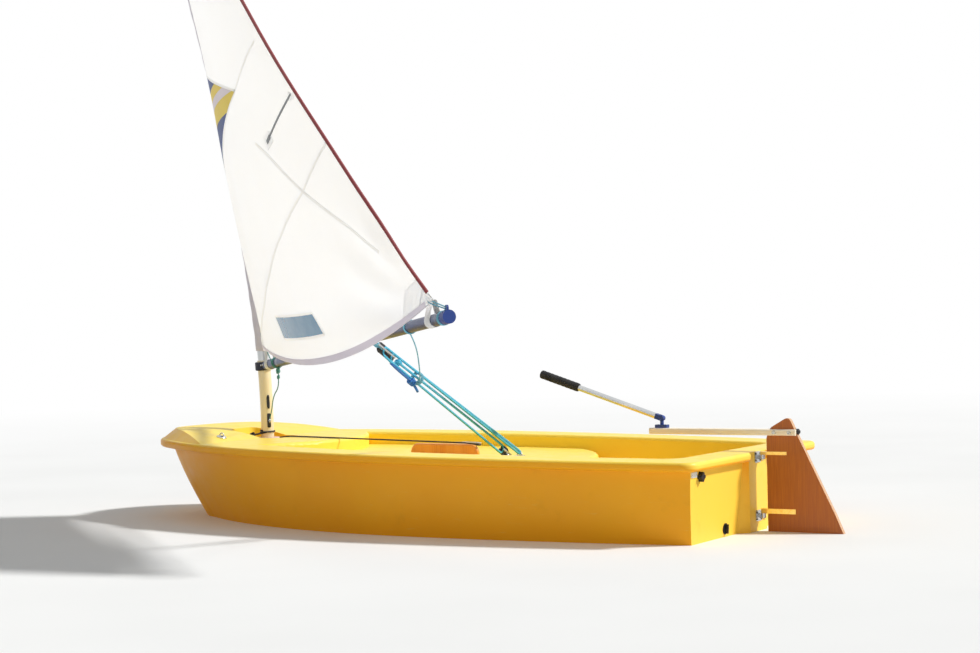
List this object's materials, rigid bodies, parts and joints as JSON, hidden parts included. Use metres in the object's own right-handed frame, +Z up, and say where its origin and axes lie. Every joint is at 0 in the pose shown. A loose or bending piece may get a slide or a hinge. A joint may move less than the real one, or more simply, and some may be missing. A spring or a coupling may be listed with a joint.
{
  "type": "sailing dinghy",
  "caption": "Small one-person sailing dinghy with a decked moulded hull, unstayed mast, sleeve sail and boom, lifting board, and rudder with tiller extension.",
  "frame": {"origin": "on the waterline, amidships on the centreline", "axes": "+Z up, bow towards -X, port towards -Y"},
  "size_m": [2.5596, 1.784, 2.8738],
  "materials": {
    "hull": "satin gloss yellow moulding",
    "pale_plastic": "matt",
    "steel": "polished stainless",
    "black_plastic": "satin black",
    "white_plastic": "blank plate",
    "cream_tube": "satin cream anodised",
    "silver_tube": "satin anodised",
    "navy_plastic": "satin",
    "boom_tube": "satin anodised",
    "blue_plastic": "satin blue",
    "blue_rubber": "matt",
    "webbing": "woven webbing",
    "sailcloth": null,
    "rudder_wood": "varnished mahogany plywood",
    "board_wood": "varnished orange wood",
    "tiller_wood": "varnished pale ash",
    "brass": "satin",
    "foam": "black foam grip"
  },
  "bodies": {
    "hull": {"hull": "hull", "mast_step": "pale_plastic", "gudgeon_upper": "steel", "gudgeon_lower": "steel", "transom_knob": "black_plastic", "drain_bung": "black_plastic", "label_plate": "white_plastic", "hook_eye": "steel", "sheet_eye": "steel", "sheet_block_lower": "black_plastic"},
    "rig": {"mast_lower": "cream_tube", "mast_upper": "silver_tube", "mast_cleat": "black_plastic", "boom_jaw": "navy_plastic", "boom": "boom_tube", "boom_cap": "blue_plastic", "clew_strap": "webbing", "sheet_strop": "webbing", "sheet_block_upper": "black_plastic", "sail": "sailcloth"},
    "rudder": {"rudder_blade": "rudder_wood", "strap_upper": "brass", "strap_lower": "brass", "tiller": "tiller_wood", "tiller_bolt_1": "steel", "tiller_bolt_2": "steel", "joint_base": "blue_plastic", "joint_neck": "blue_rubber"},
    "extension": {"extension_fork": "blue_plastic", "extension_tube": "silver_tube", "extension_grip": "foam"},
    "daggerboard": {"daggerboard": "board_wood", "board_stop_port": "board_wood", "board_stop_starboard": "board_wood"}
  },
  "joints": [
    {"name": "rig_swing", "type": "hinge", "parent": "hull", "child": "rig", "pos_m": [-0.752, 0, 0.26], "axis": [0, 0, 1], "range_deg": [-46.8, 123.2]},
    {"name": "rudder_steer", "type": "hinge", "parent": "hull", "child": "rudder", "pos_m": [1.139, 0, 0.2], "axis": [0, 0, 1], "range_deg": [-70, 70]},
    {"name": "extension_lift", "type": "hinge", "parent": "rudder", "child": "extension", "pos_m": [0.798, 0, 0.346], "axis": [0, 1, 0], "range_deg": [-15, 95]},
    {"name": "daggerboard_lift", "type": "slide", "parent": "hull", "child": "daggerboard", "axis": [0, 0, 1], "range_m": [0, 0.5]}
  ]
}
